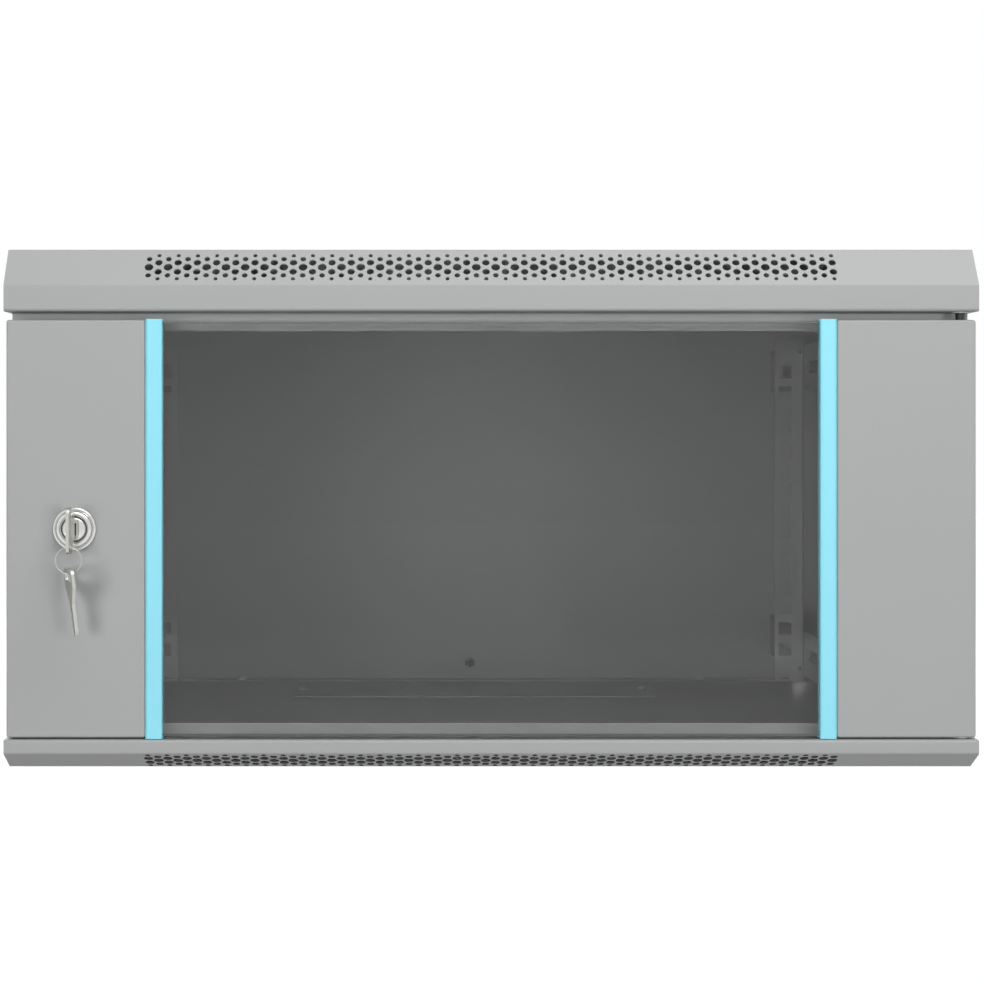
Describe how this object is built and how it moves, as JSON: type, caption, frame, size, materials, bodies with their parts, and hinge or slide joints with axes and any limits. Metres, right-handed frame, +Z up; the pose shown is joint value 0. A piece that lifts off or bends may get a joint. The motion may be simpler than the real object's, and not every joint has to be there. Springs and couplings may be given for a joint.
{
  "type": "wall mount network cabinet",
  "caption": "Low wall-hung steel rack cabinet with a hinged glass door between steel stiles, a key lock, vented front slopes and square-holed equipment rails inside.",
  "frame": {"origin": "centre of the four wall holes, on the plane of the wall", "axes": "+Z up, +Y into the wall, +X to the right seen from the front, so the door faces -Y"},
  "size_m": [0.6, 0.4829, 0.3224],
  "materials": {
    "grey_paint": "fine textured light grey powder coat",
    "blue_strip": "smooth light blue extruded plastic",
    "smoked_glass": "smoked toughened glass",
    "chrome": "bright chrome plate",
    "nickel": "nickel plated steel",
    "zinc_plate": "zinc plated steel",
    "nylon": "natural nylon"
  },
  "bodies": {
    "cabinet": {"top_frame": "grey_paint", "bottom_frame": "grey_paint", "left_side_panel": "grey_paint", "right_side_panel": "grey_paint", "back_panel": "grey_paint", "top_cable_plate": "grey_paint", "bottom_cable_plate": "grey_paint", "cable_plate_screws": "zinc_plate", "frame_screws": "zinc_plate", "back_panel_screws": "zinc_plate", "earth_stud": "zinc_plate", "earth_nut": "zinc_plate", "front_rail_left": "grey_paint", "front_rail_right": "grey_paint", "rear_rail_left": "grey_paint", "rear_rail_right": "grey_paint", "lower_bracket_left": "grey_paint", "lower_bracket_right": "grey_paint", "upper_bracket_left": "grey_paint", "upper_bracket_right": "grey_paint", "rail_bolts": "zinc_plate", "rail_nuts": "zinc_plate", "bracket_screws": "zinc_plate", "upper_hinge_bush": "nylon", "lower_hinge_pin": "zinc_plate"},
    "door": {"door_lock_stile": "grey_paint", "door_hinge_stile": "grey_paint", "door_glass": "smoked_glass", "edge_strip_left": "blue_strip", "edge_strip_right": "blue_strip", "upper_hinge_pin": "zinc_plate", "lower_hinge_bush": "nylon", "lock_housing": "chrome", "lock_nut": "zinc_plate"},
    "lock_core": {"lock_plug": "chrome", "lock_cam": "zinc_plate", "cam_screw": "zinc_plate"},
    "key": {"key": "nickel"},
    "key_ring": {"key_ring": "nickel"},
    "spare_key": {"spare_key": "nickel"}
  },
  "joints": [
    {"name": "door_hinge", "type": "hinge", "parent": "cabinet", "child": "door", "pos_m": [0.291, -0.44, 0], "axis": [0, 0, 1], "range_deg": [0, 180]},
    {"name": "lock_turn", "type": "hinge", "parent": "door", "child": "lock_core", "pos_m": [-0.2567, -0.44, -0.012], "axis": [0, 1, 0], "range_deg": [0, 90]},
    {"name": "key_pull", "type": "slide", "parent": "lock_core", "child": "key", "axis": [0, -1, 0], "range_m": [0, 0.025]},
    {"name": "ring_hang", "type": "hinge", "parent": "key", "child": "key_ring", "pos_m": [-0.2567, -0.4691, -0.02475], "axis": [0, 1, 0], "range_deg": [-90, 0]},
    {"name": "spare_key_swing", "type": "hinge", "parent": "key_ring", "child": "spare_key", "pos_m": [-0.2567, -0.4691, -0.0382], "axis": [1, 0, 0], "range_deg": [-60, 10]}
  ],
  "couplings": [
    {"joint": "ring_hang", "follows": "lock_turn", "ratio": -1}
  ]
}
